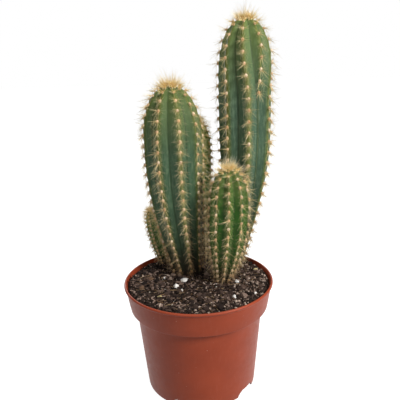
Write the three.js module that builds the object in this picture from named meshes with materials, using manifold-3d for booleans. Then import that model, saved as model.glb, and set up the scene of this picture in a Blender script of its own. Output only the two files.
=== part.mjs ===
// Potted blue column cactus: five ribbed stems in a 12 cm nursery pot of potting soil.
// Millimetres, +Z up. The origin is on the middle of the pot's base and the front is -Y.
// Stem angles are counted in degrees from the front (-Y), positive towards +X.
import * as THREE from 'three'
import { mergeVertices } from 'three/addons/utils/BufferGeometryUtils.js'
import Module from 'manifold-3d'

const wasm = await Module()
wasm.setup()

// Driving dimensions of the pot
const RIM_RADIUS = 60
const RIM_HEIGHT = 90
const COLLAR_FOOT = 69.4
const COLLAR_TOP_RADIUS = 58.6
const COLLAR_FOOT_RADIUS = 55.9
const BODY_TOP_RADIUS = 51.4
const BASE_RADIUS = 45.2
const WALL = 1.2
const FLOOR = 1.4
const FLOOR_LIFT = 5.2
const CENTRE_DISC_RADIUS = 27
const POT_FACETS = 72

// Driving dimensions of the foot arches and the drain holes
const ARCH_COUNT = 5
const ARCH_WIDTH = 20.5
const ARCH_HEIGHT = 5.4
const ARCH_TURN = -37.5
const DRAIN_RADIUS = 3
const DRAIN_CIRCLE = 37

// Driving dimensions of the soil
const SOIL_GAP = 0.4
const SOIL_EDGE = 87.6
const SOIL_RISE = -2
const SOIL_DISH_RADIUS = 51
const SOIL_FACETS = 60
const SOCKET_GAP = 0.3

// Each stem grows from a buried foot at z FOOT_Z. Its axis runs from `foot` to `head` and reaches
// the head's x and y at height `straight`. `full` is the largest crest radius, reached at `filled`.
// `lean` tips the crest of each rib sideways between its grooves, in degrees.
const FOOT_Z = 78
const GROUND_Z = 85
const STEMS = [
  {
    name: 'column_tall', foot: [32, 34], head: [42.8, 38], straight: 200, bend: 1.8,
    base: 6.2, full: 21.9, filled: 205, swell: 1.22, shoulder: 243, top: 290, dome: 2.3,
    ribs: 7, turn: 25.5, groove: 0.21, facets: 6,
    extraRib: { low: 226, high: 276, turn: 9.5 }, lean: [0, -5, -4, -3, 2, 0, 5, 1],
  },
  {
    name: 'column_left', foot: [-7.2, 24.3], head: [-17, 14.5], straight: 190, bend: 1.8,
    base: 11.6, full: 23.4, filled: 196, swell: 1.05, shoulder: 203, top: 242.5, dome: 2.05,
    ribs: 9, turn: -5.2, groove: 0.155, facets: 6, lean: [2, 0, 2, -2, 3, -2, 0, 3, 1],
  },
  {
    name: 'column_front', foot: [18.6, 1.5], head: [25.8, -1.3], straight: 160, bend: 1.8,
    base: 5.2, full: 15.7, filled: 140, swell: 1, shoulder: 151, top: 180.5, dome: 2.1,
    ribs: 10, turn: -22, groove: 0.2, facets: 4, lean: [0, 1, -2, 3, -1, 2, -3, 1, 0, -1],
  },
  {
    name: 'column_back', foot: [5.5, 42], head: [2.6, 46.5], straight: 170, bend: 1.8,
    base: 5.4, full: 11.4, filled: 160, swell: 1, shoulder: 186, top: 211, dome: 2.1,
    ribs: 10, turn: 4.4, groove: 0.18, facets: 4, lean: [0, 2, -2, 1, 3, -2, 0, 2, -1, 1],
  },
  {
    name: 'pup_left', foot: [-26.2, 40.6], head: [-39.2, 40.9], straight: 136, bend: 0.9,
    base: 4.2, full: 7.9, filled: 108, swell: 1, shoulder: 116, top: 136.5, dome: 2.1,
    ribs: 8, turn: -6, groove: 0.16, facets: 4, lean: [2, 0, -2, 3, 0, -3, 1, 0],
  },
]

// Grains pressed into the soil: half extents, turn about Z in degrees, and how far each stands up
const GRAINS = [
  { name: 'perlite_1', at: [-11.5, 5.4], half: [3.2, 2.6, 2.1], turn: 12, proud: 1.5, seed: 1, look: 'perlite' },
  { name: 'perlite_2', at: [-16.6, 5.6], half: [1.5, 1.4, 1.5], turn: 40, proud: 1.1, seed: 2, look: 'perlite' },
  { name: 'perlite_3', at: [-17.9, -7.6], half: [2.4, 2, 2.3], turn: 70, proud: 1.7, seed: 3, look: 'perlite' },
  { name: 'perlite_4', at: [-13.7, -13.4], half: [1.6, 1.3, 1.2], turn: 15, proud: 0.9, seed: 4, look: 'perlite' },
  { name: 'perlite_5', at: [-28.2, 8.6], half: [1.2, 1.1, 1.2], turn: 0, proud: 0.9, seed: 5, look: 'perlite' },
  { name: 'perlite_6', at: [31.2, -3.6], half: [1.6, 2.6, 1.8], turn: 10, proud: 1.3, seed: 6, look: 'perlite' },
  { name: 'perlite_7', at: [26.8, -30.4], half: [1.3, 1.7, 1.7], turn: 25, proud: 1.2, seed: 7, look: 'perlite' },
  { name: 'perlite_8', at: [43.4, -25.2], half: [1.4, 1.6, 1.4], turn: 60, proud: 1, seed: 8, look: 'perlite' },
  { name: 'husk_1', at: [-30, -25.6], half: [1.9, 1.5, 1.1], turn: 20, proud: 0.9, seed: 9, look: 'husk' },
  { name: 'husk_2', at: [48.6, 16.2], half: [2.1, 1.7, 1.2], turn: -30, proud: 0.9, seed: 10, look: 'husk' },
  { name: 'bark_1', at: [-40.6, 8], half: [4.2, 3.1, 2.2], turn: 25, proud: 1.5, seed: 11, look: 'bark' },
  { name: 'bark_2', at: [-45.4, -9], half: [3.4, 1.8, 1.4], turn: 75, proud: 1, seed: 12, look: 'bark' },
]

const COLOURS = {
  pot: 0xa34b36,
  soil: 0x3b2c22,
  stem: 0x41704f,
  perlite: 0xe9e4da,
  husk: 0xb7a56a,
  bark: 0x5e4634,
}

const radians = (degrees) => (degrees * Math.PI) / 180
const clamp = (value) => Math.min(1, Math.max(0, value))

function smooth(low, high, value) {
  const t = clamp((value - low) / (high - low))
  return t * t * (3 - 2 * t)
}

function solidOf(geometry) {
  geometry.deleteAttribute('normal')
  geometry.deleteAttribute('uv')
  const merged = mergeVertices(geometry, 1e-4)
  return new wasm.Manifold(new wasm.Mesh({
    numProp: 3,
    vertProperties: new Float32Array(merged.attributes.position.array),
    triVerts: new Uint32Array(merged.index.array),
  }))
}

function meshOf(solid, name, colour) {
  const result = solid.getMesh()
  const geometry = new THREE.BufferGeometry()
  geometry.setAttribute('position', new THREE.BufferAttribute(result.vertProperties, 3))
  geometry.setIndex(new THREE.BufferAttribute(result.triVerts, 1))
  geometry.computeVertexNormals()
  const mesh = new THREE.Mesh(geometry, new THREE.MeshStandardMaterial({ color: colour }))
  mesh.name = name
  return mesh
}

// A solid turned about Z from [radius, height] pairs that start and end on the axis
function turned(profile, facets) {
  const points = profile.map(([radius, height]) => new THREE.Vector2(radius, height))
  return solidOf(new THREE.LatheGeometry(points, facets).rotateX(Math.PI / 2))
}

// A closed skin through level rings, given as arrays of points, with a point at each end
function lofted(rings, start, end) {
  const count = rings[0].length
  const positions = [...start]
  rings.forEach((ring) => ring.forEach((point) => positions.push(...point)))
  positions.push(...end)
  const last = positions.length / 3 - 1
  const triangles = []
  for (let i = 0; i < count; i++) {
    const next = (i + 1) % count
    triangles.push(0, 1 + next, 1 + i)
    for (let level = 0; level < rings.length - 1; level++) {
      const here = 1 + level * count
      const above = here + count
      triangles.push(here + i, here + next, above + next)
      triangles.push(here + i, above + next, above + i)
    }
    const crown = 1 + (rings.length - 1) * count
    triangles.push(last, crown + i, crown + next)
  }
  const geometry = new THREE.BufferGeometry()
  geometry.setAttribute('position', new THREE.Float32BufferAttribute(positions, 3))
  geometry.setIndex(triangles)
  return solidOf(geometry)
}

// Pot: thin wall, stepped collar with a rounded lip, foot ring, centre disc level with the feet
function pot() {
  const shell = turned([
    [0, 0], [CENTRE_DISC_RADIUS, 0], [CENTRE_DISC_RADIUS + 1.2, 0.8],
    [CENTRE_DISC_RADIUS + 3, FLOOR_LIFT - 0.8], [CENTRE_DISC_RADIUS + 4.5, FLOOR_LIFT],
    [BASE_RADIUS - 2.6, FLOOR_LIFT], [BASE_RADIUS - 1.9, FLOOR_LIFT - 0.8],
    [BASE_RADIUS - 1.6, 0], [BASE_RADIUS - 0.6, 0], [BASE_RADIUS, 0.7],
    [BODY_TOP_RADIUS, COLLAR_FOOT], [COLLAR_FOOT_RADIUS - 0.5, COLLAR_FOOT],
    [COLLAR_FOOT_RADIUS, COLLAR_FOOT + 0.6], [COLLAR_TOP_RADIUS, RIM_HEIGHT - 2.7],
    [RIM_RADIUS - 0.3, RIM_HEIGHT - 2.3], [RIM_RADIUS, RIM_HEIGHT - 1.2],
    [RIM_RADIUS - 0.3, RIM_HEIGHT - 0.3], [RIM_RADIUS - 0.8, RIM_HEIGHT],
    [RIM_RADIUS - 1.4, RIM_HEIGHT - 0.3], [RIM_RADIUS - 1.7, RIM_HEIGHT - 1.1],
    [COLLAR_TOP_RADIUS - WALL, RIM_HEIGHT - 3.2],
    [COLLAR_FOOT_RADIUS - WALL, COLLAR_FOOT + WALL + 0.4],
    [BODY_TOP_RADIUS - WALL + 0.2, COLLAR_FOOT + WALL - 0.2],
    [BODY_TOP_RADIUS - WALL, COLLAR_FOOT + 0.6],
    [BASE_RADIUS - 0.5, FLOOR_LIFT + FLOOR + 1.4], [BASE_RADIUS - 1.8, FLOOR_LIFT + FLOOR],
    [CENTRE_DISC_RADIUS + 4, FLOOR_LIFT + FLOOR], [CENTRE_DISC_RADIUS + 2, FLOOR_LIFT + 0.8],
    [CENTRE_DISC_RADIUS + 0.4, FLOOR + 0.6], [CENTRE_DISC_RADIUS - 0.6, FLOOR], [0, FLOOR],
  ], POT_FACETS)
  let cut = shell
  for (let i = 0; i < ARCH_COUNT; i++) {
    const turn = ARCH_TURN + (i * 360) / ARCH_COUNT
    const half = ARCH_WIDTH / 2
    const outline = new THREE.Shape([
      new THREE.Vector2(-half, -2), new THREE.Vector2(half, -2), new THREE.Vector2(half, 1),
      new THREE.Vector2(half * 0.78, ARCH_HEIGHT * 0.62), new THREE.Vector2(half * 0.5, ARCH_HEIGHT),
      new THREE.Vector2(-half * 0.5, ARCH_HEIGHT), new THREE.Vector2(-half * 0.78, ARCH_HEIGHT * 0.62),
      new THREE.Vector2(-half, 1),
    ])
    const arch = new THREE.ExtrudeGeometry(outline, { depth: 14, bevelEnabled: false })
    arch.rotateX(Math.PI / 2).rotateZ(Math.PI / 2)
    arch.translate(BASE_RADIUS - 5.6, 0, 0)
    arch.rotateZ(radians(turn))
    cut = cut.subtract(solidOf(arch))
    const drain = new THREE.CylinderGeometry(DRAIN_RADIUS, DRAIN_RADIUS, 6, 16)
    drain.rotateX(Math.PI / 2).translate(DRAIN_CIRCLE, 0, FLOOR_LIFT)
    drain.rotateZ(radians(turn + 180 / ARCH_COUNT))
    cut = cut.subtract(solidOf(drain))
  }
  return cut
}

// Height of the soil's surface: heaped towards the middle, with low lumps
function soilHeight(x, y) {
  const radius = Math.hypot(x, y)
  const rise = SOIL_RISE * (1 - (radius / SOIL_DISH_RADIUS) ** 2)
  const lumps = Math.sin(0.23 * x + 1.1) * Math.sin(0.19 * y + 0.4)
    + 0.6 * Math.sin(0.41 * x - 0.27 * y) + 0.4 * Math.sin(0.52 * y + 0.33 * x + 2)
  return SOIL_EDGE + rise + 0.42 * lumps
}

function soilBlock() {
  const under = [
    [CENTRE_DISC_RADIUS - 1, FLOOR + SOIL_GAP], [CENTRE_DISC_RADIUS + 1.4, FLOOR_LIFT + 0.6],
    [CENTRE_DISC_RADIUS + 3.6, FLOOR_LIFT + FLOOR + SOIL_GAP],
    [BASE_RADIUS - 2.2, FLOOR_LIFT + FLOOR + SOIL_GAP],
    [BASE_RADIUS - 1, FLOOR_LIFT + FLOOR + 2], [BODY_TOP_RADIUS - WALL - SOIL_GAP, COLLAR_FOOT + 1.3],
    [COLLAR_FOOT_RADIUS - WALL - 0.6, COLLAR_FOOT + WALL + 1.4], [RIM_RADIUS - 3.7, SOIL_EDGE - 2.6],
  ]
  const ring = (radius, height) => Array.from({ length: SOIL_FACETS }, (_, i) => {
    const angle = (2 * Math.PI * i) / SOIL_FACETS
    const x = radius * Math.cos(angle)
    const y = radius * Math.sin(angle)
    return [x, y, height === null ? soilHeight(x, y) : height]
  })
  const rings = under.map(([radius, height]) => ring(radius, height))
  const surface = [RIM_RADIUS - 4.2, 52.5, 48, 43, 37, 30, 23, 16, 9, 4]
  surface.forEach((radius) => rings.push(ring(radius, null)))
  return lofted(rings, [0, 0, FLOOR + SOIL_GAP], [0, 0, soilHeight(0, 0)])
}

// Rib crests round a stem at one height: angle and half width of each, in degrees
function ribsAt(stem, z) {
  if (!stem.extraRib) {
    const half = 180 / stem.ribs
    return Array.from({ length: stem.ribs }, (_, i) => ({ angle: stem.turn + half * (2 * i + 1), half }))
  }
  const t = smooth(stem.extraRib.low, stem.extraRib.high, z)
  const extra = 4 + t * (360 / (stem.ribs + 1) - 4)
  const width = (360 - extra) / stem.ribs
  const start = stem.turn + t * (stem.extraRib.turn - stem.turn)
  const ribs = [{ angle: start + extra / 2, half: extra / 2 }]
  for (let i = 0; i < stem.ribs; i++) {
    ribs.push({ angle: start + extra + width * (i + 0.5), half: width / 2 })
  }
  return ribs
}

function crestRadius(stem, z) {
  const rise = Math.sin((Math.PI / 2) * clamp((z - GROUND_Z) / (stem.filled - GROUND_Z))) ** stem.swell
  const dome = clamp((z - stem.shoulder) / (stem.top - stem.shoulder))
  const foot = z < GROUND_Z ? 0.6 + 0.4 * ((z - FOOT_Z) / (GROUND_Z - FOOT_Z)) : 1
  const body = stem.base + (stem.full - stem.base) * rise
  return foot * body * (1 - dome ** stem.dome) ** (1 / stem.dome)
}

function axisAt(stem, z) {
  const t = 1 - (1 - clamp((z - FOOT_Z) / (stem.straight - FOOT_Z))) ** stem.bend
  return [0, 1].map((i) => stem.foot[i] + t * (stem.head[i] - stem.foot[i]))
}

function stemRing(stem, z, grow) {
  const [x, y] = axisAt(stem, z)
  const radius = crestRadius(stem, z) + grow
  const ring = []
  for (const [index, rib] of ribsAt(stem, z).entries()) {
    const height = stem.groove * Math.min(1, rib.half / (180 / (stem.ribs + 1)))
    for (let i = 0; i < stem.facets; i++) {
      const side = (2 * i) / stem.facets - 1
      const wave = 0.6 * (1 - Math.abs(side)) + 0.2 * (1 + Math.cos(Math.PI * side))
      const reach = radius * (1 - stem.groove + height * wave)
      const tip = stem.lean[index] * (1 - Math.abs(side))
      const angle = radians(rib.angle + side * rib.half + tip - 90)
      ring.push([x + reach * Math.cos(angle), y + reach * Math.sin(angle), z])
    }
  }
  return ring
}

// Heights of a stem's rings: two in the buried foot, a few up the shaft, closer round the dome
function stemLevels(stem) {
  const levels = [FOOT_Z, FOOT_Z + 3.5]
  const shaft = Math.ceil((stem.shoulder - GROUND_Z) / 15)
  for (let i = 0; i <= shaft; i++) levels.push(GROUND_Z + ((stem.shoulder - GROUND_Z) * i) / shaft)
  const dome = 7
  for (let i = 1; i <= dome; i++) {
    const t = Math.sin((Math.PI / 2) * (i / (dome + 0.35)))
    levels.push(stem.shoulder + (stem.top - stem.shoulder) * t)
  }
  return levels
}

function stemSolid(stem, grow = 0) {
  const rings = stemLevels(stem).map((z) => stemRing(stem, z, grow))
  rings[0].forEach((point) => { point[2] -= grow })
  const [footX, footY] = axisAt(stem, FOOT_Z)
  const [headX, headY] = axisAt(stem, stem.top)
  return lofted(rings, [footX, footY, FOOT_Z - 0.6 - grow], [headX, headY, stem.top + grow])
}

// A rough rounded grain, or its socket when `grow` is above zero
function grainSolid(grain, grow = 0) {
  const geometry = new THREE.IcosahedronGeometry(1, 1)
  geometry.deleteAttribute('normal')
  geometry.deleteAttribute('uv')
  const merged = mergeVertices(geometry, 1e-4)
  const position = merged.attributes.position
  for (let i = 0; i < position.count; i++) {
    const [x, y, z] = [position.getX(i), position.getY(i), position.getZ(i)]
    const rough = 1 + 0.16 * Math.sin(5 * x + 3 * y + 7 * grain.seed) * Math.cos(4 * z - 2 * x + grain.seed)
    position.setXYZ(i, x * rough * (grain.half[0] + grow), y * rough * (grain.half[1] + grow),
      z * rough * (grain.half[2] + grow))
  }
  merged.rotateZ(radians(grain.turn))
  const [x, y] = grain.at
  merged.translate(x, y, soilHeight(x, y) + grain.proud - grain.half[2])
  return solidOf(merged)
}

const group = new THREE.Group()
group.name = 'potted_blue_column_cactus'

let soil = soilBlock()
for (const stem of STEMS) soil = soil.subtract(stemSolid(stem, SOCKET_GAP))
for (const grain of GRAINS) soil = soil.subtract(grainSolid(grain, SOCKET_GAP))

group.add(meshOf(pot(), 'pot', COLOURS.pot))
group.add(meshOf(soil, 'soil', COLOURS.soil))
for (const stem of STEMS) group.add(meshOf(stemSolid(stem), stem.name, COLOURS.stem))
for (const grain of GRAINS) group.add(meshOf(grainSolid(grain), grain.name, COLOURS[grain.look]))

export default group
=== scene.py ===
"""Potted blue column cactus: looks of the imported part. Shapes are in millimetres until a mesh is made."""
import math
import random
import bpy
import numpy as np
from mathutils import Matrix, Vector, noise

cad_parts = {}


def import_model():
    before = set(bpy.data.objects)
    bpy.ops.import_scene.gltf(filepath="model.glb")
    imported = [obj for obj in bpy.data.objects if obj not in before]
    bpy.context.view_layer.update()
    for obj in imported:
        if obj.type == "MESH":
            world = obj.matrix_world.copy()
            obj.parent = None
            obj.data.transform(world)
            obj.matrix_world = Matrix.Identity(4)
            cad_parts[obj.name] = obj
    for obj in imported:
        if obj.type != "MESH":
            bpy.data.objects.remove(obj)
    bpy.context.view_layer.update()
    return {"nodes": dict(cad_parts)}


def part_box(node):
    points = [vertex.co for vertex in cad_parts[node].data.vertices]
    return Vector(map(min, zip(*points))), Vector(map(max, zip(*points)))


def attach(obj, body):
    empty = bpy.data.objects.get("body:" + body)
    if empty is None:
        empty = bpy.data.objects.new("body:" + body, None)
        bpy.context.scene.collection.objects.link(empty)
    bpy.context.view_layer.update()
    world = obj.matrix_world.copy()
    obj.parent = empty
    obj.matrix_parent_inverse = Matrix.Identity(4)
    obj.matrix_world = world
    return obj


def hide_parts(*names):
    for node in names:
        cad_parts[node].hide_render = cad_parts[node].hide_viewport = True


MM = 0.001

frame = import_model()


# Small helpers -------------------------------------------------------------------------------


def clamp(value, low=0.0, high=1.0):
    return max(low, min(high, value))


def smooth(low, high, value):
    t = clamp((value - low) / (high - low))
    return t * t * (3 - 2 * t)


def linear(red, green, blue):
    """Linear colour with full alpha from 0 to 255 display values."""
    def channel(value):
        value /= 255
        return value / 12.92 if value <= 0.04045 else ((value + 0.055) / 1.055) ** 2.4
    return (channel(red), channel(green), channel(blue), 1.0)


def make_object(name, vertices, faces, material, smooth_faces=True, uvs=None, attributes=None):
    """Mesh object from millimetre vertices, with optional per-vertex UVs and float attributes."""
    mesh = bpy.data.meshes.new(name)
    mesh.from_pydata([tuple(c * MM for c in v) for v in vertices], [], faces)
    mesh.validate()
    mesh.polygons.foreach_set("use_smooth", [smooth_faces] * len(mesh.polygons))
    if uvs is not None:
        loops = np.zeros(len(mesh.loops), np.int32)
        mesh.loops.foreach_get("vertex_index", loops)
        layer = mesh.uv_layers.new(name="OFBake")
        layer.data.foreach_set("uv", np.asarray(uvs, np.float32)[loops].ravel())
    for key, values in (attributes or {}).items():
        mesh.attributes.new(key, "FLOAT", "POINT").data.foreach_set("value", np.asarray(values, np.float32))
    if material:
        mesh.materials.append(material)
    mesh.update()
    obj = bpy.data.objects.new(name, mesh)
    bpy.context.scene.collection.objects.link(obj)
    return obj


def circle(radius, z, segments):
    """Points of a level circle about the pot's axis."""
    return [(radius * math.cos(2 * math.pi * k / segments), radius * math.sin(2 * math.pi * k / segments), z)
            for k in range(segments)]


def bands(count, segments):
    """Quads that join rings of points one above the other, facing out where each ring is above the last."""
    faces = []
    for i in range(count - 1):
        for k in range(segments):
            a, b = i * segments + k, i * segments + (k + 1) % segments
            faces.append((a, b, b + segments, a + segments))
    return faces


def finish_piece(obj, slot_name, *nodes):
    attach(obj, "root")
    if nodes:
        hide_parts(*nodes)


class Shader:
    """A small wrapper that makes a node material."""

    def __init__(self, name, roughness=0.6, specular=0.5):
        self.material = bpy.data.materials.new(name)
        self.material.use_nodes = True
        self.tree = self.material.node_tree
        self.shader = self.tree.nodes["Principled BSDF"]
        self.shader.inputs["Roughness"].default_value = roughness
        self.shader.inputs["Specular IOR Level"].default_value = specular

    def node(self, kind, **inputs):
        node = self.tree.nodes.new(kind)
        for key, value in inputs.items():
            self.put(node.inputs[key.replace("_", " ")], value)
        return node

    def put(self, socket, value):
        if isinstance(value, bpy.types.NodeSocket):
            self.tree.links.new(value, socket)
        else:
            socket.default_value = value

    def position(self, scale):
        """Object coordinates in millimetres, stretched by scale."""
        place = self.node("ShaderNodeTexCoord").outputs["Object"]
        mapping = self.node("ShaderNodeMapping", Vector=place)
        mapping.inputs["Scale"].default_value = [s / MM for s in scale]
        return mapping.outputs["Vector"]

    def noise(self, scale, detail=3.0, stretch=(1, 1, 1), rough=0.55):
        node = self.node("ShaderNodeTexNoise", Vector=self.position(stretch), Scale=scale, Detail=detail,
                         Roughness=rough)
        return node.outputs["Fac"]

    def attribute(self, name):
        node = self.tree.nodes.new("ShaderNodeAttribute")
        node.attribute_name = name
        return node.outputs["Fac"]

    def ramp(self, value, *stops):
        """Colour ramp through (position, colour) stops."""
        node = self.node("ShaderNodeValToRGB", Fac=value)
        elements = node.color_ramp.elements
        while len(elements) < len(stops):
            elements.new(0.5)
        for element, (position, colour) in zip(elements, stops):
            element.position = position
            element.color = colour if hasattr(colour, "__len__") else (colour, colour, colour, 1)
        return node.outputs["Color"]

    def mix(self, factor, one, two):
        node = self.tree.nodes.new("ShaderNodeMix")
        node.data_type = "RGBA"
        self.put(node.inputs["Factor"], factor)
        self.put(node.inputs["A"], one)
        self.put(node.inputs["B"], two)
        return node.outputs["Result"]

    def math(self, operation, one, two):
        node = self.tree.nodes.new("ShaderNodeMath")
        node.operation = operation
        self.put(node.inputs[0], one)
        self.put(node.inputs[1], two)
        return node.outputs[0]

    def bump(self, height, strength, distance):
        node = self.node("ShaderNodeBump", Height=height, Strength=strength, Distance=distance * MM)
        self.put(self.shader.inputs["Normal"], node.outputs["Normal"])

    def colour(self, value):
        self.put(self.shader.inputs["Base Color"], value)
        return self.material


# Stems: the same shapes as the CAD solids, with finer skin -----------------------------------

FOOT_Z = 78.0
GROUND_Z = 85.0

# Shape of each stem as in the CAD, then its looks: areole spacing (pitch, phase), how bright green it is
# (fresh), shade (dark, below 0 is lighter; the back column's value below 0 is painted light on a stem in the
# tall column's shadow), the height of its corky foot (cork), and its spines (density, gold, thick,
# pale_crown).
STEMS = [
    dict(name="column_tall", foot=(32, 34), head=(42.8, 38), straight=200, bend=1.8, base=6.2, full=21.9,
         filled=205, swell=1.22, shoulder=243, top=290, dome=2.3, ribs=7, turn=25.5, groove=0.21,
         extra=dict(low=226, high=276, turn=9.5), lean=(0, -5, -4, -3, 2, 0, 5, 1),
         pitch=8.8, phase=0.0, fresh=0.05, dark=0.0, cork=0.12, density=1.1, gold=0.0, thick=1.0,
         seed=11, pale_crown=0.4),
    dict(name="column_left", foot=(-7.2, 24.3), head=(-17, 14.5), straight=190, bend=1.8, base=11.6,
         full=23.4, filled=196, swell=1.05, shoulder=203, top=242.5, dome=2.05, ribs=9, turn=-5.2,
         groove=0.155, extra=None, lean=(2, 0, 2, -2, 3, -2, 0, 3, 1),
         pitch=7.6, phase=0.3, fresh=0.15, dark=0.3, cork=0.1, density=1.0, gold=0.0, thick=1.0,
         seed=12, pale_crown=0.08),
    dict(name="column_front", foot=(18.6, 1.5), head=(25.8, -1.3), straight=160, bend=1.8, base=5.2,
         full=15.7, filled=140, swell=1, shoulder=151, top=180.5, dome=2.1, ribs=10, turn=-22,
         groove=0.2, extra=None, lean=(0, 1, -2, 3, -1, 2, -3, 1, 0, -1),
         pitch=6.9, phase=0.1, fresh=1.0, dark=0.45, cork=0.1, density=0.75, gold=0.0, thick=0.9,
         seed=13, pale_crown=0.3),
    dict(name="column_back", foot=(5.5, 42), head=(2.6, 46.5), straight=170, bend=1.8, base=5.4,
         full=11.4, filled=160, swell=1, shoulder=186, top=211, dome=2.1, ribs=10, turn=4.4,
         groove=0.18, extra=None, lean=(0, 2, -2, 1, 3, -2, 0, 2, -1, 1),
         pitch=5.6, phase=0.5, fresh=0.6, dark=-0.9, cork=0.5, density=0.5, gold=0.45, thick=1.3,
         seed=14, pale_crown=0.1),
    dict(name="pup_left", foot=(-26.2, 40.6), head=(-39.2, 40.9), straight=136, bend=0.9, base=4.2,
         full=7.9, filled=108, swell=1, shoulder=116, top=136.5, dome=2.1, ribs=8, turn=-6,
         groove=0.16, extra=None, lean=(2, 0, -2, 3, 0, -3, 1, 0),
         pitch=4.6, phase=0.2, fresh=0.8, dark=0.2, cork=0.2, density=0.65, gold=0.3, thick=1.0,
         seed=15, pale_crown=0.1),
]


def ribs_at(stem, z):
    """Angle and half width of each rib crest at one height, in degrees from the front."""
    count, extra = stem["ribs"], stem["extra"]
    if not extra:
        half = 180 / count
        return [(stem["turn"] + half * (2 * i + 1), half) for i in range(count)]
    t = smooth(extra["low"], extra["high"], z)
    new = 4 + t * (360 / (count + 1) - 4)
    width = (360 - new) / count
    start = stem["turn"] + t * (extra["turn"] - stem["turn"])
    return [(start + new / 2, new / 2)] + [(start + new + width * (i + 0.5), width / 2) for i in range(count)]


def crest_radius(stem, z):
    rise = math.sin(math.pi / 2 * clamp((z - GROUND_Z) / (stem["filled"] - GROUND_Z))) ** stem["swell"]
    dome = clamp((z - stem["shoulder"]) / (stem["top"] - stem["shoulder"]))
    foot = 0.6 + 0.4 * (z - FOOT_Z) / (GROUND_Z - FOOT_Z) if z < GROUND_Z else 1
    body = stem["base"] + (stem["full"] - stem["base"]) * rise
    return foot * body * (1 - dome ** stem["dome"]) ** (1 / stem["dome"])


def axis_at(stem, z):
    t = 1 - (1 - clamp((z - FOOT_Z) / (stem["straight"] - FOOT_Z))) ** stem["bend"]
    return [stem["foot"][i] + t * (stem["head"][i] - stem["foot"][i]) for i in (0, 1)]


def skin_point(stem, z, rib, side, lift=0.0):
    """Point of the skin on one rib: side runs from -1 to 1 between its grooves."""
    angle, half = ribs_at(stem, z)[rib]
    height = stem["groove"] * min(1, half / (180 / (stem["ribs"] + 1)))
    wave = 0.6 * (1 - abs(side)) + 0.2 * (1 + math.cos(math.pi * side))
    reach = crest_radius(stem, z) * (1 - stem["groove"] + height * wave)
    turn = math.radians(angle + side * half + stem["lean"][rib] * (1 - abs(side)) - 90)
    x, y = axis_at(stem, z)
    reach += lift
    return Vector((x + reach * math.cos(turn), y + reach * math.sin(turn), z))


def areole_rows(stem):
    """For each rib, the areoles down its crest as (z, arc distance from the apex)."""
    rows = []
    levels = np.linspace(stem["top"], GROUND_Z + 3.5, 500)
    for rib in range(len(stem["lean"])):
        crest = [skin_point(stem, z, rib, 0.0) for z in levels]
        steps = [0.0]
        for a, b in zip(crest, crest[1:]):
            steps.append(steps[-1] + (b - a).length)
        extra_rib = stem["extra"] is not None and rib == 0
        lowest = stem["extra"]["low"] + 6 if extra_rib else 0
        arc = stem["pitch"] * (0.25 + 0.5 * ((rib * 0.5 + stem["phase"]) % 1))
        row = []
        while arc < steps[-1]:
            z = float(np.interp(arc, steps, levels))
            if z > lowest:
                row.append((z, arc))
            near_top = 0.5 + 0.5 * smooth(0, 16, arc)
            near_base = 0.72 + 0.28 * smooth(GROUND_Z, GROUND_Z + 65, z)
            arc += stem["pitch"] * near_top * near_base
        rows.append(row)
    return rows


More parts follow.
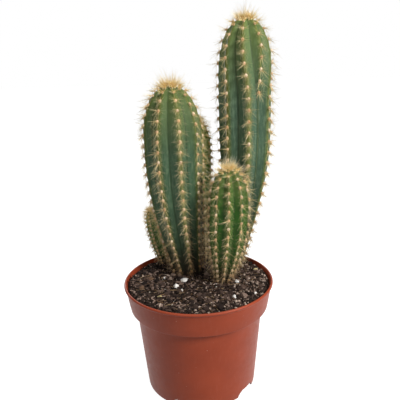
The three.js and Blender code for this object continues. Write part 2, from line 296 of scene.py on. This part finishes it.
def skin_material(stem):
    s = Shader("skin_" + stem["name"], roughness=0.55, specular=0.22)
    across, tall = s.attribute("across"), s.attribute("tall")
    # shade scales the skin colours; above 1, as on the back column, it is painted light.
    fresh, shade = stem["fresh"], 1 - 0.35 * stem["dark"]
    blue = linear(shade * (86 - 34 * fresh), shade * (110 + 12 * fresh), shade * (84 - 56 * fresh))
    deep = linear(shade * (62 - 28 * fresh), shade * (86 + 2 * fresh), shade * (64 - 46 * fresh))
    pale = linear(shade * (142 - 56 * fresh), shade * (160 - 14 * fresh), shade * (128 - 84 * fresh))
    patches = s.noise(0.16, 4.0, (1, 1, 0.5))
    body = s.mix(s.ramp(patches, (0.35, 0.0), (0.68, 1.0)), deep, blue)
    streaks = s.noise(0.8, 3.0, (1, 1, 0.08), 0.7)
    body = s.mix(s.math("MULTIPLY", s.ramp(streaks, (0.5, 0.0), (0.64, 1.0)), 0.5), body, pale)
    body = s.mix(s.math("MULTIPLY", s.ramp(streaks, (0.36, 1.0), (0.48, 0.0)), 0.65), body, deep)
    specks = s.noise(2.4, 3.0, (1, 1, 0.5))
    body = s.mix(s.math("MULTIPLY", s.ramp(specks, (0.56, 0.0), (0.68, 1.0)), 0.4), body, pale)
    mottle = s.ramp(s.noise(0.7, 4.0, (1, 1, 0.5), 0.7), (0.36, 0.0), (0.64, 1.0))
    body = s.mix(0.55, body, s.mix(mottle, linear(shade * 44, shade * 62, shade * (48 - 20 * fresh)), body))
    valley = s.ramp(across, (0.3, 0.0), (0.6, 1.0), (0.86, 1.0), (0.97, 0.2))
    bloom = linear(shade * (88 - 16 * fresh), shade * (116 - 4 * fresh), shade * (100 - 62 * fresh))
    body = s.mix(s.math("MULTIPLY", valley, 0.3), body, bloom)
    # Painted shade: the skin darkened towards the foot of each stem, standing in for the shadow that falls
    # low on the stems.
    low = s.ramp(tall, (0.0, 1.0), (0.48, 0.0))
    body = s.mix(s.math("MULTIPLY", low, 0.86), body, linear(24, 30, 19))
    young = s.ramp(tall, (0.68, 0.0), (0.94, 1.0))
    body = s.mix(s.math("MULTIPLY", young, 0.7), body, linear(shade * 106, shade * 124, shade * 58))
    crest = s.ramp(across, (0.1, 1.0), (0.36, 0.0))
    body = s.mix(s.math("MULTIPLY", crest, 0.7), body, linear(shade * 100, shade * 112, shade * 46))
    ridge = s.ramp(across, (0.0, 1.0), (0.08, 0.8), (0.16, 0.0))
    body = s.mix(s.math("MULTIPLY", ridge, 0.3), body, linear(132, 128, 66))
    # Painted shade: the bottom of each groove darkened, standing in for the shadow in the crease between
    # ribs.
    groove = s.ramp(across, (0.85, 0.0), (1.0, 1.0))
    body = s.mix(s.math("MULTIPLY", groove, 0.6), body, linear(40, 54, 34))
    cork = s.ramp(s.math("ADD", tall, s.math("MULTIPLY", s.noise(0.2, 3.0), 0.2)),
                  (stem["cork"], 1.0), (stem["cork"] + 0.2, 0.0))
    bark = s.mix(s.ramp(s.noise(0.9, 4.0), (0.35, 0.0), (0.65, 1.0)), linear(26, 18, 14), linear(58, 39, 31))
    body = s.mix(s.math("MULTIPLY", cork, 0.85), body, bark)
    s.bump(s.noise(1.4, 4.0), strength=0.45, distance=0.4)
    return s.colour(body)


def stem_skin(stem):
    """Skin with fine ribs, a low swelling at each areole and shallow unevenness."""
    rows = areole_rows(stem)
    count = len(rows)
    samples = 14
    shaft = np.arange(GROUND_Z - 3, stem["shoulder"], 1.3)
    dome = [stem["shoulder"] + (stem["top"] - stem["shoulder"]) * math.sin(math.pi / 2 * i / 30.6)
            for i in range(31)]
    levels = [FOOT_Z, FOOT_Z + 2] + list(shaft) + dome
    vertices, across, tall = [], [], []
    total = count * samples
    for z in levels:
        height = (z - GROUND_Z) / (stem["top"] - GROUND_Z)
        for rib in range(count):
            near = min(((z - level) for level, _ in rows[rib]), key=abs)
            swelling = 0.55 * math.exp(-((near / 2.0) ** 2)) - 0.35 * math.exp(-(((near - 3.0) / 1.2) ** 2))
            for i in range(samples):
                side = 2 * i / samples - 1
                flat = skin_point(stem, z, rib, side)
                rough = 0.22 * noise.noise(flat * 0.16) + 0.1 * noise.noise(flat * 0.6)
                lift = rough + swelling * math.exp(-((side / 0.3) ** 2)) * smooth(0, 8, crest_radius(stem, z))
                vertices.append(skin_point(stem, z, rib, side, lift * smooth(0, 5, crest_radius(stem, z))))
                across.append(abs(side))
                tall.append(clamp(height))
    faces = bands(len(levels), total)
    x, y = axis_at(stem, FOOT_Z)
    vertices.append((x, y, FOOT_Z - 0.6))
    x, y = axis_at(stem, stem["top"])
    vertices.append((x, y, stem["top"]))
    low, high = len(vertices) - 2, len(vertices) - 1
    last = (len(levels) - 1) * total
    for i in range(total):
        j = (i + 1) % total
        faces.append((low, j, i))
        faces.append((high, last + i, last + j))
    across += [0.5, 0.3]
    tall += [0.0, 1.0]
    obj = make_object(stem["name"] + "_skin", vertices, faces, skin_material(stem), attributes={
        "across": across, "tall": tall})
    finish_piece(obj, "stem_skin", stem["name"])
    return rows


def spine_material():
    """Spines: u runs from root to tip, v is age, from old at 0 to young at 1."""
    s = Shader("spine", roughness=0.45, specular=0.4)
    uv = s.node("ShaderNodeUVMap")
    uv.uv_map = "OFBake"
    parts = s.node("ShaderNodeSeparateXYZ", Vector=uv.outputs["UV"])
    along, age = parts.outputs["X"], parts.outputs["Y"]
    young = s.ramp(along, (0.0, linear(214, 160, 66)), (0.4, linear(246, 218, 142)),
                   (1.0, linear(255, 250, 234)))
    middle = s.ramp(along, (0.0, linear(210, 172, 108)), (0.5, linear(224, 202, 144)),
                    (1.0, linear(220, 204, 164)))
    # Old spines: the browner colour of aged spines, darkened further as painted shade for the shadow low on
    # the stems.
    old = s.ramp(along, (0.0, linear(116, 76, 46)), (0.5, linear(150, 114, 76)), (1.0, linear(146, 120, 92)))
    low = s.ramp(age, (0.0, 0.0), (0.45, 1.0))
    high = s.ramp(age, (0.55, 0.0), (0.95, 1.0))
    return s.colour(s.mix(high, s.mix(low, old, middle), young))


def felt_material():
    """Areole felt: u is a random tone, v is age."""
    s = Shader("areole_felt", roughness=0.9, specular=0.1)
    uv = s.node("ShaderNodeUVMap")
    uv.uv_map = "OFBake"
    parts = s.node("ShaderNodeSeparateXYZ", Vector=uv.outputs["UV"])
    tone = s.ramp(parts.outputs["X"], (0.0, linear(214, 170, 122)), (0.5, linear(238, 202, 160)),
                  (1.0, linear(248, 226, 196)))
    aged = s.mix(s.ramp(parts.outputs["Y"], (0.0, 1.0), (0.35, 0.0)), tone, linear(160, 124, 76))
    fresh = s.mix(s.ramp(parts.outputs["Y"], (0.8, 0.0), (1.0, 1.0)), aged, linear(242, 218, 160))
    s.shader.inputs["Sheen Weight"].default_value = 0.3
    s.bump(s.noise(4.0, 3.0), strength=0.6, distance=0.3)
    return s.colour(fresh)


def icosphere():
    """Vertices and faces of a 20-face ball."""
    golden = (1 + 5 ** 0.5) / 2
    points = [Vector(p).normalized() for p in (
        (-1, golden, 0), (1, golden, 0), (-1, -golden, 0), (1, -golden, 0), (0, -1, golden), (0, 1, golden),
        (0, -1, -golden), (0, 1, -golden), (golden, 0, -1), (golden, 0, 1), (-golden, 0, -1),
        (-golden, 0, 1))]
    faces = [(0, 11, 5), (0, 5, 1), (0, 1, 7), (0, 7, 10), (0, 10, 11), (1, 5, 9), (5, 11, 4), (11, 10, 2),
             (10, 7, 6), (7, 1, 8), (3, 9, 4), (3, 4, 2), (3, 2, 6), (3, 6, 8), (3, 8, 9), (4, 9, 5),
             (2, 4, 11), (6, 2, 10), (8, 6, 7), (9, 8, 1)]
    return points, faces


def divided(points, faces):
    """One round of splitting each face of a ball into four."""
    points, made, middle = list(points), [], {}

    def between(a, b):
        key = (min(a, b), max(a, b))
        if key not in middle:
            points.append((points[a] + points[b]).normalized())
            middle[key] = len(points) - 1
        return middle[key]

    for a, b, c in faces:
        ab, bc, ca = between(a, b), between(b, c), between(c, a)
        made += [(a, ab, ca), (b, bc, ab), (c, ca, bc), (ab, bc, ca)]
    return points, made


BALL_20 = icosphere()
BALL_80 = divided(*BALL_20)
BALL_320 = divided(*BALL_80)
BALL_1280 = divided(*BALL_320)


SPINE_POINTS = 10


class Swarm:
    """Gathers many small shapes into one mesh with a UV pair per vertex."""

    def __init__(self):
        self.vertices, self.faces, self.uvs = [], [], []

    def ball(self, ball, place, axes, uv, rough, rng):
        """A ball stretched along three axes, each point moved in or out at random by up to rough."""
        base = len(self.vertices)
        for p in ball[0]:
            scale = 1 + rough * rng.uniform(-1, 1)
            self.vertices.append(place + (axes[0] * p.x + axes[1] * p.y + axes[2] * p.z) * scale)
            self.uvs.append(uv)
        self.faces += [tuple(base + i for i in face) for face in ball[1]]

    def spine(self, root, direction, length, radius, bend, age, start=0.0):
        """A tapering three-sided spine that ends in a point; start shifts its colour towards the tip's."""
        side = direction.orthogonal().normalized()
        other = direction.cross(side)
        base = len(self.vertices)
        for t, width in ((0.0, 1.0), (0.45, 0.72), (0.8, 0.4)):
            centre = root + direction * (length * t) + bend * (length * t * t)
            for k in range(3):
                angle = 2 * math.pi * k / 3
                offset = side * math.cos(angle) + other * math.sin(angle)
                self.vertices.append(centre + offset * (radius * width))
                self.uvs.append((start + (1 - start) * t, age))
        self.vertices.append(root + direction * length + bend * length)
        self.uvs.append((1.0, age))
        for ring in (0, 3):
            for k in range(3):
                a, b = base + ring + k, base + ring + (k + 1) % 3
                self.faces.append((a, b, b + 3, a + 3))
        self.faces.append((base + 2, base + 1, base))
        for k in range(3):
            self.faces.append((base + 6 + k, base + 6 + (k + 1) % 3, base + 9))

    def make(self, name, material, smooth_faces=True):
        return make_object(name, self.vertices, self.faces, material, smooth_faces, self.uvs)


UP = Vector((0, 0, 1))
SPINE = spine_material()
FELT = felt_material()


def crown(stem, rng, felt, spines):
    """Golden wool and fine upright spines over the growing tip."""
    deep = stem["top"] - stem["shoulder"]
    for _ in range(int(14 + 1.4 * stem["full"])):
        part = 0.34 * rng.random() ** 0.7
        turn = rng.uniform(0, 2 * math.pi)
        rise = (1 - part ** stem["dome"]) ** (1 / stem["dome"])
        z = stem["shoulder"] + deep * rise
        ray = Vector((math.cos(turn), math.sin(turn), 0))
        x, y = axis_at(stem, z)
        here = Vector((x, y, z)) + ray * (part * stem["full"] * (1 - 0.6 * stem["groove"]))
        out = ray * part ** (stem["dome"] - 1) / stem["full"] + UP * rise ** (stem["dome"] - 1) / deep
        out.normalize()
        side = out.cross(ray.cross(UP)).normalized()
        size = (0.7 + 0.012 * stem["full"]) * (1 - 0.7 * part)
        felt.ball(BALL_80, here - out * 0.2, (side * size, out.cross(side) * size, out * 1.2 * size),
                  (rng.random(), 0.99), 0.16, rng)
        for _ in range(2):
            lean = Vector((rng.uniform(-0.6, 0.6), rng.uniform(-0.6, 0.6), 0))
            lean += ray * part * rng.uniform(0, 2)
            length = rng.uniform(1.4 + 0.1 * stem["full"], 2.6 + 0.54 * stem["full"]) * (1.3 - 1.6 * part)
            spines.spine(here, (out + lean).normalized(), length, rng.uniform(0.12, 0.18), Vector(), 0.98,
                         stem["pale_crown"])


def dress(stem, rows):
    """Areole felt and spines along every rib."""
    rng = random.Random(stem["seed"])
    felt, spines = Swarm(), Swarm()
    size = 0.75 + 0.25 * smooth(7, 20, stem["full"])
    for rib, row in enumerate(rows):
        for z, arc in row:
            here = skin_point(stem, z, rib, 0.0)
            up = (skin_point(stem, z + 0.4, rib, 0.0) - skin_point(stem, z - 0.4, rib, 0.0)).normalized()
            if z + 0.4 > stem["top"]:
                up = (skin_point(stem, z, rib, 0.0) - skin_point(stem, z - 0.8, rib, 0.0)).normalized()
            across = (skin_point(stem, z, rib, 0.2) - skin_point(stem, z, rib, -0.2)).normalized()
            out = across.cross(up).normalized()
            height = (z - GROUND_Z) / (stem["top"] - GROUND_Z)
            young = 1 - smooth(4, 24, arc)
            # Spines count as older towards the foot; their darker colour there is partly painted shade.
            old = 1 - smooth(0.0, max(0.42, stem["cork"]), height)
            age = 0.5 + stem["gold"] * smooth(0.45, 0.75, height) + 0.5 * young - 0.45 * old
            age = clamp(age + rng.uniform(-0.06, 0.06), 0.02, 0.98)
            wide = size * rng.uniform(0.85, 1.12) * (1 - 0.25 * young)
            axes = (across * wide, up * wide * rng.uniform(1.2, 1.45), out * 1.15)
            felt.ball(BALL_80, here + out * 0.5, axes, (rng.random(), age), 0.14, rng)
            count = int(stem["density"] * (25 - 2 * old + 10 * young))
            rise = UP * 0.3 * young
            for k in range(count):
                turn = 2 * math.pi * (k + rng.uniform(-0.35, 0.35)) / count
                lift = math.radians(rng.uniform(6, 40) + 14 * young)
                flat = (across * math.cos(turn) + up * (math.sin(turn) - 0.35)).normalized()
                direction = (flat * math.cos(lift) + out * math.sin(lift) + rise).normalized()
                length = size * (1 - 0.3 * old) * rng.uniform(4.2, 8.6) * (1 - 0.15 * max(0, math.sin(turn)))
                bend = out * rng.uniform(-0.08, 0.02) + up * rng.uniform(-0.06, 0.02)
                radius = stem["thick"] * rng.uniform(0.06, 0.086)
                spines.spine(here + out * 0.6, direction, length, radius, bend, age)
            for _ in range(int(3 + stem["density"])):
                spread = across * rng.uniform(-1.3, 1.3) + up * rng.uniform(-1.3, 0.3)
                direction = (out + spread + rise).normalized()
                length = size * (1 - 0.3 * old) * rng.uniform(7, 11.5)
                bend = up * rng.uniform(-0.06, 0.03)
                spines.spine(here + out * 0.7, direction, length, rng.uniform(0.1, 0.145), bend, age)
    crown(stem, rng, felt, spines)
    finish_piece(felt.make(stem["name"] + "_areoles", FELT), "stem_skin")
    finish_piece(spines.make(stem["name"] + "_spines", SPINE, False), "stem_skin")


for stem in STEMS:
    dress(stem, stem_skin(stem))


# Soil ----------------------------------------------------------------------------------------

SOIL_EDGE = 87.6
SOIL_RISE = -2.0
SOIL_DISH = 51.0
SOIL_RADIUS = 57.0


def soil_height(x, y):
    rise = SOIL_RISE * (1 - (math.hypot(x, y) / SOIL_DISH) ** 2)
    lumps = (math.sin(0.23 * x + 1.1) * math.sin(0.19 * y + 0.4) + 0.6 * math.sin(0.41 * x - 0.27 * y)
             + 0.4 * math.sin(0.52 * y + 0.33 * x + 2))
    return SOIL_EDGE + rise + 0.42 * lumps


def soil_top(x, y):
    """The CAD surface with crumbly relief, falling away at the pot's wall."""
    p = Vector((x, y, 0))
    relief = 1.5 * noise.fractal(p * 0.28, 0.7, 2.1, 4) + 0.6 * noise.noise(p * 1.3 + Vector((7, 3, 1)))
    fall = smooth(SOIL_RADIUS - 2.5, SOIL_RADIUS, math.hypot(x, y))
    return soil_height(x, y) + relief * (1 - 0.5 * fall) - 1.2 * fall ** 1.5


def soil_material():
    s = Shader("soil_bed", roughness=0.95, specular=0.15)
    base = s.ramp(s.noise(0.55, 5.0), (0.3, linear(16, 12, 10)), (0.5, linear(40, 31, 26)),
                  (0.72, linear(76, 61, 50)))
    flecks = s.ramp(s.noise(1.7, 3.0), (0.6, 0.0), (0.7, 1.0))
    s.bump(s.noise(1.2, 6.0), strength=0.9, distance=0.8)
    return s.colour(s.mix(s.math("MULTIPLY", flecks, 0.5), base, linear(120, 98, 78)))


def soil_bed():
    """The dished top from the middle out, then the sides down the pot's inside to its floor."""
    rings, segments = 84, 300
    vertices = []
    for i in range(rings):
        radius = SOIL_RADIUS * ((i + 1) / rings) ** 0.92
        for k in range(segments):
            angle = 2 * math.pi * k / segments
            x, y = radius * math.cos(angle), radius * math.sin(angle)
            vertices.append((x, y, soil_top(x, y)))
    skirt = [(55.6, 80.0), (54.0, 72.4), (50.0, 70.8), (44.3, 8.6), (43.0, 7.0), (30.6, 7.0), (28.4, 5.8),
             (26.0, 1.8)]
    for radius, z in skirt:
        vertices += circle(radius, z, segments)
    faces = [(a, d, c, b) for a, b, c, d in bands(rings + len(skirt), segments)]
    vertices += [(0, 0, soil_top(0, 0)), (0, 0, skirt[-1][1])]
    last = (rings + len(skirt) - 1) * segments
    for k in range(segments):
        j = (k + 1) % segments
        faces.append((len(vertices) - 2, k, j))
        faces.append((len(vertices) - 1, last + j, last + k))
    finish_piece(make_object("soil_bed", vertices, faces, soil_material()), "soil", "soil")


def tone_material(name, stops):
    """Colour by the tone in u, roughened by fine noise."""
    s = Shader(name, roughness=0.9, specular=0.15)
    uv = s.node("ShaderNodeUVMap")
    uv.uv_map = "OFBake"
    tone = s.node("ShaderNodeSeparateXYZ", Vector=uv.outputs["UV"]).outputs["X"]
    s.bump(s.noise(2.5, 4.0), strength=0.5, distance=0.4)
    return s.colour(s.ramp(tone, *stops))


def turned_axes(rng, size, flat=1.0, tilt=1.0):
    """Three axes of a randomly turned ellipsoid."""
    turn = Matrix.Rotation(rng.uniform(0, 2 * math.pi), 3, "Z")
    turn = turn @ Matrix.Rotation(rng.uniform(-tilt, tilt), 3, "X")
    turn = turn @ Matrix.Rotation(rng.uniform(-tilt, tilt), 3, "Y")
    return [turn @ Vector(v) for v in ((size, 0, 0), (0, size * rng.uniform(0.6, 0.9), 0),
                                       (0, 0, size * flat * rng.uniform(0.5, 0.8)))]


def free_spot(rng, limit):
    """A place on the soil that no stem covers."""
    while True:
        x, y = rng.uniform(-limit, limit), rng.uniform(-limit, limit)
        if math.hypot(x, y) > limit:
            continue
        if all(math.hypot(x - stem["foot"][0], y - stem["foot"][1]) > stem["base"] for stem in STEMS):
            return x, y


def soil_litter():
    """Crumbs, chips, fibres and small white grains that make the surface of the soil."""
    rng = random.Random(41)
    crumbs = Swarm()
    for _ in range(3600):
        x, y = free_spot(rng, 55.6)
        size = rng.choice((0.45, 0.6, 0.8, 1.1)) * rng.uniform(0.8, 1.3)
        place = Vector((x, y, soil_top(x, y) + size * rng.uniform(-0.1, 0.35)))
        # Painted light: crumbs lighter towards the right (+x), where the key light falls.
        tone = clamp(rng.random() ** 1.25 + 0.3 * smooth(0, 45, x))
        crumbs.ball(BALL_20, place, turned_axes(rng, size), (tone, 0.5), 0.25, rng)
    for _ in range(260):
        x, y = free_spot(rng, 53.0)
        size = rng.uniform(1.4, 2.9)
        place = Vector((x, y, soil_top(x, y) + size * rng.uniform(-0.1, 0.2)))
        axes = turned_axes(rng, size, 0.8, 0.6)
        crumbs.ball(BALL_80, place, axes, (rng.uniform(0.2, 0.85), 0.5), 0.26, rng)
    for _ in range(420):
        x, y = free_spot(rng, 54.5)
        size = rng.uniform(1.2, 3.0)
        place = Vector((x, y, soil_top(x, y) + rng.uniform(0.2, 0.9)))
        long, wide, thick = turned_axes(rng, size, 1.0, 0.5)
        crumbs.ball(BALL_20, place, (long, wide * 0.4, thick * 0.3), (rng.uniform(0.3, 1.0), 0.5), 0.2, rng)
    stops = ((0.0, linear(13, 10, 8)), (0.35, linear(38, 29, 25)), (0.7, linear(86, 69, 60)),
             (0.9, linear(142, 120, 107)), (1.0, linear(184, 163, 147)))
    finish_piece(crumbs.make("soil_crumbs", tone_material("soil_crumb", stops), False), "soil")

    fibres = Swarm()
    for _ in range(620):
        x, y = free_spot(rng, 53.5)
        heading = rng.uniform(0, 2 * math.pi)
        direction = Vector((math.cos(heading), math.sin(heading), rng.uniform(-0.12, 0.35))).normalized()
        length = rng.uniform(2.5, 8.5)
        bend = Vector((rng.uniform(-0.3, 0.3), rng.uniform(-0.3, 0.3), -0.12))
        place = Vector((x, y, soil_top(x, y) + rng.uniform(0.0, 0.6)))
        end = place + direction * length
        if math.hypot(end.x, end.y) > 55:
            continue
        fibres.spine(place, direction, length, rng.uniform(0.12, 0.34), bend, 0.5)
        tone = rng.random()
        fibres.uvs[-SPINE_POINTS:] = [(tone, 0.5)] * SPINE_POINTS
    stops = ((0.0, linear(62, 44, 32)), (0.5, linear(112, 84, 60)), (1.0, linear(172, 146, 112)))
    finish_piece(fibres.make("soil_fibres", tone_material("soil_fibre", stops), False), "soil")

    whites = Swarm()
    for _ in range(46):
        x, y = free_spot(rng, 52.0)
        size = rng.uniform(0.35, 0.8)
        place = Vector((x, y, soil_top(x, y) + size * 0.6))
        whites.ball(BALL_80, place, turned_axes(rng, size, 1.1), (rng.random(), 0.5), 0.16, rng)
    stops = ((0.0, linear(176, 160, 140)), (1.0, linear(232, 226, 214)))
    finish_piece(whites.make("perlite_crumbs", tone_material("perlite_crumb", stops)), "perlite")


GRAIN_LOOKS = {
    "perlite": (linear(222, 215, 203), linear(250, 248, 244)),
    "husk": (linear(176, 158, 104), linear(206, 190, 140)),
    "bark": (linear(70, 52, 40), linear(112, 86, 66)),
}


def grain_material(look):
    s = Shader("grain_" + look, roughness=0.85, specular=0.2)
    dull, bright = GRAIN_LOOKS[look]
    base = s.ramp(s.noise(0.8, 4.0), (0.32, dull), (0.6, bright))
    pits = s.ramp(s.noise(1.9, 2.0), (0.3, 1.0), (0.42, 0.0))
    s.bump(s.noise(1.4, 5.0), strength=0.8, distance=0.5)
    return s.colour(s.mix(s.math("MULTIPLY", pits, 0.45), base, linear(120, 92, 66)))


def grains():
    """Each CAD grain again with a rough, pitted skin."""
    looks = {look: grain_material(look) for look in GRAIN_LOOKS}
    names = sorted(name for name in frame["nodes"] if name.split("_")[0] in GRAIN_LOOKS)
    for name in names:
        low, high = (Vector(corner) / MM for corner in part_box(name))
        centre, half = (low + high) / 2, (high - low) / 2
        shift = Vector((centre.x, centre.y, 5.0))
        vertices = []
        for p in BALL_1280[0]:
            rough = 1.1 + 0.2 * noise.noise(p * 1.6 + shift) + 0.1 * noise.noise(p * 4.2 + shift)
            vertices.append(centre + Vector((p.x * half.x, p.y * half.y, p.z * half.z * 1.2)) * rough)
        look = name.split("_")[0]
        finish_piece(make_object(name + "_grain", vertices, BALL_1280[1], looks[look]), look, name)


# Pot -----------------------------------------------------------------------------------------

ARCH_COUNT = 5
ARCH_WIDTH = 20.5
ARCH_HEIGHT = 5.4
ARCH_TURN = -37.5
ARCH_DEPTH = 14
ARCH_INNER = 39.6
DRAIN_RADIUS = 3.0
DRAIN_CENTRE = (37.0, 3.0)
DRAIN_DEPTH = 6


def pot_material():
    s = Shader("pot_plastic", roughness=0.42, specular=0.2)
    cloud = s.noise(0.035, 3.0, (1, 1, 1.6))
    base = s.ramp(cloud, (0.35, linear(146, 62, 37)), (0.65, linear(156, 67, 40)))
    drift = s.noise(0.5, 4.0, (1, 1, 0.2))
    base = s.mix(s.math("MULTIPLY", s.ramp(drift, (0.55, 0.0), (0.8, 1.0)), 0.25), base, linear(170, 86, 64))
    dust = s.ramp(s.noise(0.55, 1.0), (0.8, 0.0), (0.83, 1.0))
    base = s.mix(s.math("MULTIPLY", dust, 0.55), base, linear(214, 170, 152))
    rough = s.ramp(s.noise(0.25, 4.0), (0.3, 0.36), (0.7, 0.5))
    s.put(s.shader.inputs["Roughness"], rough)
    s.bump(s.noise(0.9, 5.0, (1, 1, 2.2)), strength=0.12, distance=0.15)
    return s.colour(base)


def turned(name, profile, segments, material):
    """Closed turned shape from (radius, z) pairs; the first and last lie on the axis."""
    vertices = []
    rings = profile[1:-1]
    for radius, z in rings:
        vertices += circle(radius, z, segments)
    faces = bands(len(rings), segments)
    vertices += [(0, 0, profile[0][1]), (0, 0, profile[-1][1])]
    last = (len(rings) - 1) * segments
    for k in range(segments):
        j = (k + 1) % segments
        faces.append((len(vertices) - 2, j, k))
        faces.append((len(vertices) - 1, last + k, last + j))
    return make_object(name, vertices, faces, material)


def prism(name, outline, depth, place):
    """Closed prism of a flat outline in the local YZ plane, pushed along X, for cutting."""
    count = len(outline)
    points = [place @ Vector((x, y, z)) for x in (0, depth) for y, z in outline]
    faces = [tuple(range(count))[::-1], tuple(range(count, 2 * count))]
    faces += [(i, (i + 1) % count, count + (i + 1) % count, count + i) for i in range(count)]
    return make_object(name, points, faces, None)


def fillet(centre_r, centre_z, radius, start, end, steps):
    """Points round a corner of a profile, angles in degrees from +radius towards +z."""
    angles = [math.radians(start + (end - start) * i / steps) for i in range(steps + 1)]
    return [(centre_r + radius * math.cos(angle), centre_z + radius * math.sin(angle)) for angle in angles]


def pot():
    """The turned shell, outside from the base up and inside from the lip down, with its foot cut open."""
    rim, body = 90.0, 69.4
    profile = [(0, 0), (26.5, 0)] + fillet(26.5, 1.5, 1.5, -90, -20, 4) + [(29.4, 4.0)]
    profile += fillet(31.8, 3.7, 1.5, 150, 90, 3)
    profile += [(42.2, 5.2), (43.2, 4.4), (43.6, 0.5)] + fillet(44.3, 0.7, 0.7, 190, 360, 6)
    profile += [(45.0 + 6.2 * z / body, z) for z in (6, 14, 24, 36, 48, 60, 68)]
    profile += [(51.4, body - 0.1), (52.2, body)] + fillet(55.2, body + 0.7, 0.7, -90, 0, 4)
    profile += [(55.9 + 2.7 * (z - body) / 17.2, z) for z in (74, 79, 84, 87.2)]
    profile += fillet(58.85, rim - 1.15, 1.15, -70, 90, 9) + fillet(58.75, rim - 0.4, 0.4, 90, 180, 3)
    profile += [(58.25, 88.6), (57.45, 86.6), (56.4, 80), (54.8, 71.4)] + fillet(54.2, 71.3, 0.6, -10, -90, 3)
    profile += [(50.5, 70.4), (50.2, 69.6), (47.6, 40), (44.75, 8.2)] + fillet(43.3, 8.1, 1.5, 0, -90, 4)
    profile += [(31.2, 6.6), (29.4, 5.6), (27.6, 2.0), (26.4, 1.4), (0, 1.4)]
    shell = turned("pot_shell", profile, 240, pot_material())
    half, high = ARCH_WIDTH / 2, ARCH_HEIGHT
    side = [(half, -2), (half, 0.4), (half * 0.93, 2.2), (half * 0.8, 3.6), (half * 0.66, high * 0.86),
            (half * 0.5, high)]
    arch = [(-half, -2)] + side + [(-y, z) for y, z in side[:0:-1]]
    drain = [(DRAIN_RADIUS * math.cos(math.radians(a)), DRAIN_RADIUS * math.sin(math.radians(a)))
             for a in range(0, 360, 15)]
    upright = Matrix(((0, 1, 0), (0, 0, 1), (1, 0, 0)))
    out, low = DRAIN_CENTRE
    cutters = []
    for i in range(ARCH_COUNT):
        turn = math.radians(ARCH_TURN + 360 / ARCH_COUNT * i)
        cutters.append(prism("arch", arch, ARCH_DEPTH, Matrix.Rotation(turn, 3, "Z")))
        place = Vector((math.cos(turn), math.sin(turn), 0)) * ARCH_INNER * MM
        cutters[-1].data.transform(Matrix.Translation(place))
        across = turn + math.radians(180 / ARCH_COUNT)
        cutters.append(prism("drain", drain, DRAIN_DEPTH, upright))
        place = Vector((out * math.cos(across), out * math.sin(across), low)) * MM
        cutters[-1].data.transform(Matrix.Translation(place))
    for cutter in cutters:
        modifier = shell.modifiers.new("cut", "BOOLEAN")
        modifier.operation = "DIFFERENCE"
        modifier.solver = "EXACT"
        modifier.object = cutter
    mesh = bpy.data.meshes.new_from_object(shell.evaluated_get(bpy.context.evaluated_depsgraph_get()))
    shell.modifiers.clear()
    shell.data = mesh
    for cutter in cutters:
        bpy.data.objects.remove(cutter)
    mesh.set_sharp_from_angle(angle=math.radians(35))
    finish_piece(shell, "pot_plastic", "pot")


soil_bed()
soil_litter()
grains()
pot()


# Studio: the floor in millimetres, lights and camera in metres -------------------------------


def floor():
    s = Shader("floor", roughness=0.9, specular=0.1)
    s.colour(s.mix(s.noise(0.002, 2.0), linear(150, 150, 150), linear(158, 158, 158)))
    s.shader.inputs["Emission Color"].default_value = (1, 1, 1, 1)
    s.shader.inputs["Emission Strength"].default_value = 0.95
    half, low = 4000, -0.2
    corners = [(-half, -half, low), (half, -half, low), (half, half, low), (-half, half, low)]
    obj = make_object("floor", corners, [(0, 1, 2, 3)], s.material)
    obj.visible_diffuse = False


def area_light(name, place, target, size, power):
    light = bpy.data.lights.new(name, "AREA")
    light.shape = "DISK"
    light.size = size
    light.energy = power
    obj = bpy.data.objects.new(name, light)
    obj.location = place
    obj.rotation_euler = (Vector(target) - Vector(place)).to_track_quat("-Z", "Y").to_euler()
    bpy.context.scene.collection.objects.link(obj)


def world():
    made = bpy.data.worlds.new("studio")
    bpy.context.scene.world = made
    made.use_nodes = True
    tree = made.node_tree
    seen = tree.nodes["Background"]
    seen.inputs["Color"].default_value = (1, 1, 1, 1)
    seen.inputs["Strength"].default_value = 1.0
    ambient = tree.nodes.new("ShaderNodeBackground")
    ambient.inputs["Color"].default_value = (1, 1, 1, 1)
    ambient.inputs["Strength"].default_value = 0.17
    path = tree.nodes.new("ShaderNodeLightPath")
    mix = tree.nodes.new("ShaderNodeMixShader")
    tree.links.new(path.outputs["Is Camera Ray"], mix.inputs["Fac"])
    tree.links.new(ambient.outputs["Background"], mix.inputs[1])
    tree.links.new(seen.outputs["Background"], mix.inputs[2])
    tree.links.new(mix.outputs["Shader"], tree.nodes["World Output"].inputs["Surface"])


def camera():
    data = bpy.data.cameras.new("camera")
    data.sensor_width = 36
    data.lens = 45
    data.clip_start, data.clip_end = 0.01, 50
    obj = bpy.data.objects.new("camera", data)
    bpy.context.scene.collection.objects.link(obj)
    place = Matrix.Translation((0, -0.3721, 0.2669))
    pan = Matrix.Rotation(math.radians(-0.5), 4, "Z")
    pitch = Matrix.Rotation(math.radians(90 - 16.6), 4, "X")
    roll = Matrix.Rotation(math.radians(-1.77), 4, "Z")
    obj.matrix_world = place @ pan @ pitch @ roll
    bpy.context.scene.camera = obj


floor()
world()
area_light("key", (0.85, -0.6, 0.75), (0, 0, 0.14), 0.4, 15.5)
area_light("fill", (-0.45, -1.0, 0.45), (0, 0, 0.14), 0.6, 2.8)
area_light("top", (0.1, 0.1, 1.3), (0, 0, 0.14), 0.6, 5.0)
area_light("back", (-0.35, 1.1, 0.5), (0, 0, 0.14), 0.7, 5.0)
camera()
scene = bpy.context.scene
scene.view_settings.view_transform = "Standard"
